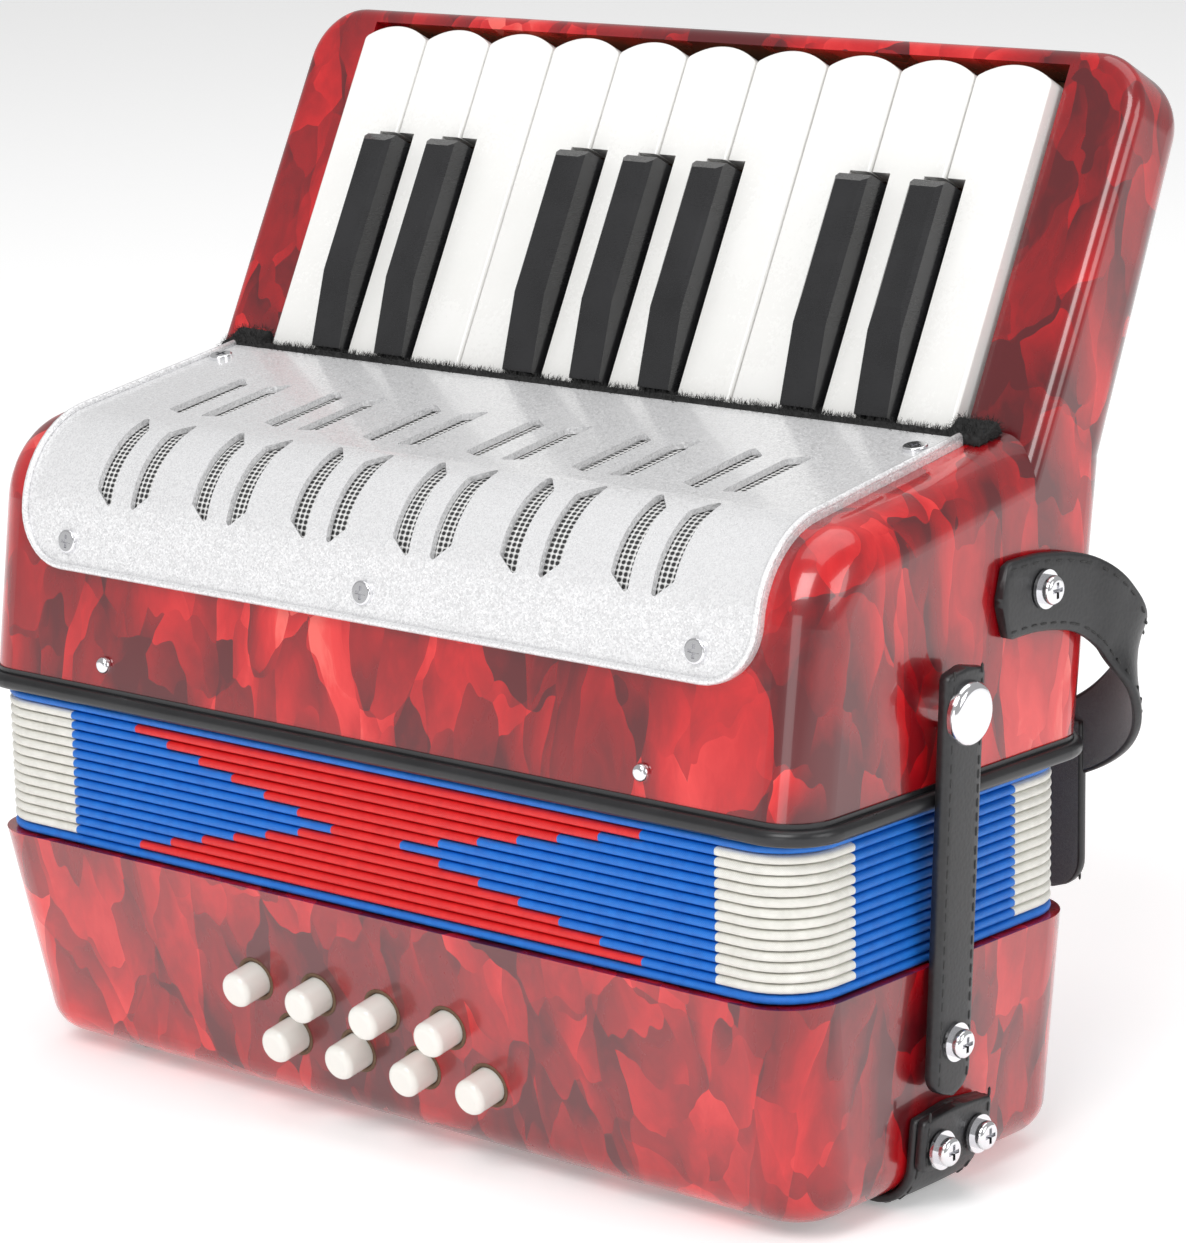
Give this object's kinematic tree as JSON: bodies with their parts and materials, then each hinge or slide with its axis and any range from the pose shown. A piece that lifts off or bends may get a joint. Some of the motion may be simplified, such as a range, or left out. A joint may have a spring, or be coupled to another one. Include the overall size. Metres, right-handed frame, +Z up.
{
  "type": "piano accordion",
  "caption": "Small piano accordion standing on its bass end: keyboard and grille over closed pleated bellows, bass buttons in front, leather straps on the sides.",
  "frame": {"origin": "on the floor under the feet, at the middle of the whole instrument's width and depth", "axes": "+X along the keyboard towards the high notes, -Y is the front with grille and bass buttons, +Z up from the bass end to the treble end"},
  "size_m": [0.2476, 0.137, 0.2233],
  "materials": {
    "pearl_shell": "red pearl celluloid over plywood, polished",
    "rubber": "black, satin",
    "pale_wood": "raw spruce and beech",
    "bed_wood": "stained brown",
    "reed_metal": "bare",
    "spring_steel": "drawn wire",
    "bright_steel": "polished, light scratches",
    "bellows_cloth": "lacquered card and cloth, blue, red and white",
    "glitter_sheet": "silver glitter under clear plastic",
    "woven_mesh": "black and white weave",
    "black_felt": "fuzzy felt",
    "strap_leather": "black, stitched, grey suede inside",
    "ivory_plastic": "polished",
    "black_plastic": "polished",
    "button_plastic": "polished"
  },
  "bodies": {
    "bass_end": {"bass_case": "pearl_shell", "bass_feet": "rubber", "bass_soundboard": "pale_wood", "bass_reed_block": "pale_wood", "bass_reed_plates": "reed_metal", "button_springs": "spring_steel", "bellows_frame_bass": "pale_wood", "bellows": "bellows_cloth", "bass_hand_strap": "strap_leather", "hand_strap_screws": "bright_steel", "hand_strap_washers": "bright_steel", "strap_screws": "bright_steel", "strap_washers": "bright_steel"},
    "treble_end": {"treble_case": "pearl_shell", "keyboard_bed": "bed_wood", "key_axle": "spring_steel", "key_springs": "spring_steel", "bellows_frame_treble": "pale_wood", "treble_gasket": "rubber", "treble_soundboard": "pale_wood", "treble_reed_block": "pale_wood", "treble_reed_plates": "reed_metal", "treble_grille": "glitter_sheet", "grille_mesh": "woven_mesh", "grille_screws": "bright_steel", "key_felt": "black_felt", "bellows_pins": "bright_steel", "snap_studs": "bright_steel", "shoulder_strap": "strap_leather", "shoulder_screws": "bright_steel", "shoulder_washers": "bright_steel"},
    "white_key_1_body": {"white_key_1": "ivory_plastic"},
    "black_key_1_body": {"black_key_1": "black_plastic"},
    "white_key_2_body": {"white_key_2": "ivory_plastic"},
    "black_key_2_body": {"black_key_2": "black_plastic"},
    "white_key_3_body": {"white_key_3": "ivory_plastic"},
    "white_key_4_body": {"white_key_4": "ivory_plastic"},
    "black_key_3_body": {"black_key_3": "black_plastic"},
    "white_key_5_body": {"white_key_5": "ivory_plastic"},
    "black_key_4_body": {"black_key_4": "black_plastic"},
    "white_key_6_body": {"white_key_6": "ivory_plastic"},
    "black_key_5_body": {"black_key_5": "black_plastic"},
    "white_key_7_body": {"white_key_7": "ivory_plastic"},
    "white_key_8_body": {"white_key_8": "ivory_plastic"},
    "black_key_6_body": {"black_key_6": "black_plastic"},
    "white_key_9_body": {"white_key_9": "ivory_plastic"},
    "black_key_7_body": {"black_key_7": "black_plastic"},
    "white_key_10_body": {"white_key_10": "ivory_plastic"},
    "bass_button_1_body": {"bass_button_1": "button_plastic"},
    "bass_button_2_body": {"bass_button_2": "button_plastic"},
    "bass_button_3_body": {"bass_button_3": "button_plastic"},
    "bass_button_4_body": {"bass_button_4": "button_plastic"},
    "bass_button_5_body": {"bass_button_5": "button_plastic"},
    "bass_button_6_body": {"bass_button_6": "button_plastic"},
    "bass_button_7_body": {"bass_button_7": "button_plastic"},
    "bass_button_8_body": {"bass_button_8": "button_plastic"},
    "bellows_strap_right_body": {"bellows_strap_right": "strap_leather", "snap_cap_right": "bright_steel"},
    "bellows_strap_left_body": {"bellows_strap_left": "strap_leather", "snap_cap_left": "bright_steel"}
  },
  "joints": [
    {"name": "bellows_opening", "type": "slide", "parent": "bass_end", "child": "treble_end", "axis": [0, 0, 1], "range_m": [0, 0.14], "deforming": ["bellows"]},
    {"name": "white_key_1_press", "type": "hinge", "parent": "treble_end", "child": "white_key_1_body", "pos_m": [0, 0.0149, 0.14094], "axis": [-1, 0, 0], "range_deg": [0, 3], "stiffness_Nm_per_rad": 0.3, "springref_deg": -4.58},
    {"name": "black_key_1_press", "type": "hinge", "parent": "treble_end", "child": "black_key_1_body", "pos_m": [0, 0.0149, 0.14094], "axis": [-1, 0, 0], "range_deg": [0, 3], "stiffness_Nm_per_rad": 0.3, "springref_deg": -4.58},
    {"name": "white_key_2_press", "type": "hinge", "parent": "treble_end", "child": "white_key_2_body", "pos_m": [0, 0.0149, 0.14094], "axis": [-1, 0, 0], "range_deg": [0, 3], "stiffness_Nm_per_rad": 0.3, "springref_deg": -4.58},
    {"name": "black_key_2_press", "type": "hinge", "parent": "treble_end", "child": "black_key_2_body", "pos_m": [0, 0.0149, 0.14094], "axis": [-1, 0, 0], "range_deg": [0, 3], "stiffness_Nm_per_rad": 0.3, "springref_deg": -4.58},
    {"name": "white_key_3_press", "type": "hinge", "parent": "treble_end", "child": "white_key_3_body", "pos_m": [0, 0.0149, 0.14094], "axis": [-1, 0, 0], "range_deg": [0, 3], "stiffness_Nm_per_rad": 0.3, "springref_deg": -4.58},
    {"name": "white_key_4_press", "type": "hinge", "parent": "treble_end", "child": "white_key_4_body", "pos_m": [0, 0.0149, 0.14094], "axis": [-1, 0, 0], "range_deg": [0, 3], "stiffness_Nm_per_rad": 0.3, "springref_deg": -4.58},
    {"name": "black_key_3_press", "type": "hinge", "parent": "treble_end", "child": "black_key_3_body", "pos_m": [0, 0.0149, 0.14094], "axis": [-1, 0, 0], "range_deg": [0, 3], "stiffness_Nm_per_rad": 0.3, "springref_deg": -4.58},
    {"name": "white_key_5_press", "type": "hinge", "parent": "treble_end", "child": "white_key_5_body", "pos_m": [0, 0.0149, 0.14094], "axis": [-1, 0, 0], "range_deg": [0, 3], "stiffness_Nm_per_rad": 0.3, "springref_deg": -4.58},
    {"name": "black_key_4_press", "type": "hinge", "parent": "treble_end", "child": "black_key_4_body", "pos_m": [0, 0.0149, 0.14094], "axis": [-1, 0, 0], "range_deg": [0, 3], "stiffness_Nm_per_rad": 0.3, "springref_deg": -4.58},
    {"name": "white_key_6_press", "type": "hinge", "parent": "treble_end", "child": "white_key_6_body", "pos_m": [0, 0.0149, 0.14094], "axis": [-1, 0, 0], "range_deg": [0, 3], "stiffness_Nm_per_rad": 0.3, "springref_deg": -4.58},
    {"name": "black_key_5_press", "type": "hinge", "parent": "treble_end", "child": "black_key_5_body", "pos_m": [0, 0.0149, 0.14094], "axis": [-1, 0, 0], "range_deg": [0, 3], "stiffness_Nm_per_rad": 0.3, "springref_deg": -4.58},
    {"name": "white_key_7_press", "type": "hinge", "parent": "treble_end", "child": "white_key_7_body", "pos_m": [0, 0.0149, 0.14094], "axis": [-1, 0, 0], "range_deg": [0, 3], "stiffness_Nm_per_rad": 0.3, "springref_deg": -4.58},
    {"name": "white_key_8_press", "type": "hinge", "parent": "treble_end", "child": "white_key_8_body", "pos_m": [0, 0.0149, 0.14094], "axis": [-1, 0, 0], "range_deg": [0, 3], "stiffness_Nm_per_rad": 0.3, "springref_deg": -4.58},
    {"name": "black_key_6_press", "type": "hinge", "parent": "treble_end", "child": "black_key_6_body", "pos_m": [0, 0.0149, 0.14094], "axis": [-1, 0, 0], "range_deg": [0, 3], "stiffness_Nm_per_rad": 0.3, "springref_deg": -4.58},
    {"name": "white_key_9_press", "type": "hinge", "parent": "treble_end", "child": "white_key_9_body", "pos_m": [0, 0.0149, 0.14094], "axis": [-1, 0, 0], "range_deg": [0, 3], "stiffness_Nm_per_rad": 0.3, "springref_deg": -4.58},
    {"name": "black_key_7_press", "type": "hinge", "parent": "treble_end", "child": "black_key_7_body", "pos_m": [0, 0.0149, 0.14094], "axis": [-1, 0, 0], "range_deg": [0, 3], "stiffness_Nm_per_rad": 0.3, "springref_deg": -4.58},
    {"name": "white_key_10_press", "type": "hinge", "parent": "treble_end", "child": "white_key_10_body", "pos_m": [0, 0.0149, 0.14094], "axis": [-1, 0, 0], "range_deg": [0, 3], "stiffness_Nm_per_rad": 0.3, "springref_deg": -4.58},
    {"name": "bass_button_1_press", "type": "slide", "parent": "bass_end", "child": "bass_button_1_body", "axis": [0, 0.9825, 0.1864], "range_m": [0, 0.004], "stiffness_N_per_m": 150, "springref_m": -0.004},
    {"name": "bass_button_2_press", "type": "slide", "parent": "bass_end", "child": "bass_button_2_body", "axis": [0, 0.9825, 0.1864], "range_m": [0, 0.004], "stiffness_N_per_m": 150, "springref_m": -0.004},
    {"name": "bass_button_3_press", "type": "slide", "parent": "bass_end", "child": "bass_button_3_body", "axis": [0, 0.9825, 0.1864], "range_m": [0, 0.004], "stiffness_N_per_m": 150, "springref_m": -0.004},
    {"name": "bass_button_4_press", "type": "slide", "parent": "bass_end", "child": "bass_button_4_body", "axis": [0, 0.9825, 0.1864], "range_m": [0, 0.004], "stiffness_N_per_m": 150, "springref_m": -0.004},
    {"name": "bass_button_5_press", "type": "slide", "parent": "bass_end", "child": "bass_button_5_body", "axis": [0, 0.9825, 0.1864], "range_m": [0, 0.004], "stiffness_N_per_m": 150, "springref_m": -0.004},
    {"name": "bass_button_6_press", "type": "slide", "parent": "bass_end", "child": "bass_button_6_body", "axis": [0, 0.9825, 0.1864], "range_m": [0, 0.004], "stiffness_N_per_m": 150, "springref_m": -0.004},
    {"name": "bass_button_7_press", "type": "slide", "parent": "bass_end", "child": "bass_button_7_body", "axis": [0, 0.9825, 0.1864], "range_m": [0, 0.004], "stiffness_N_per_m": 150, "springref_m": -0.004},
    {"name": "bass_button_8_press", "type": "slide", "parent": "bass_end", "child": "bass_button_8_body", "axis": [0, 0.9825, 0.1864], "range_m": [0, 0.004], "stiffness_N_per_m": 150, "springref_m": -0.004},
    {"name": "bellows_strap_right_swing", "type": "hinge", "parent": "bass_end", "child": "bellows_strap_right_body", "pos_m": [0.11546, -0.0193, 0.036], "axis": [0.999, 0, -0.0436], "range_deg": [0, 105]},
    {"name": "bellows_strap_left_swing", "type": "hinge", "parent": "bass_end", "child": "bellows_strap_left_body", "pos_m": [-0.11546, -0.0193, 0.036], "axis": [0.999, 0, 0.0436], "range_deg": [0, 105]}
  ]
}
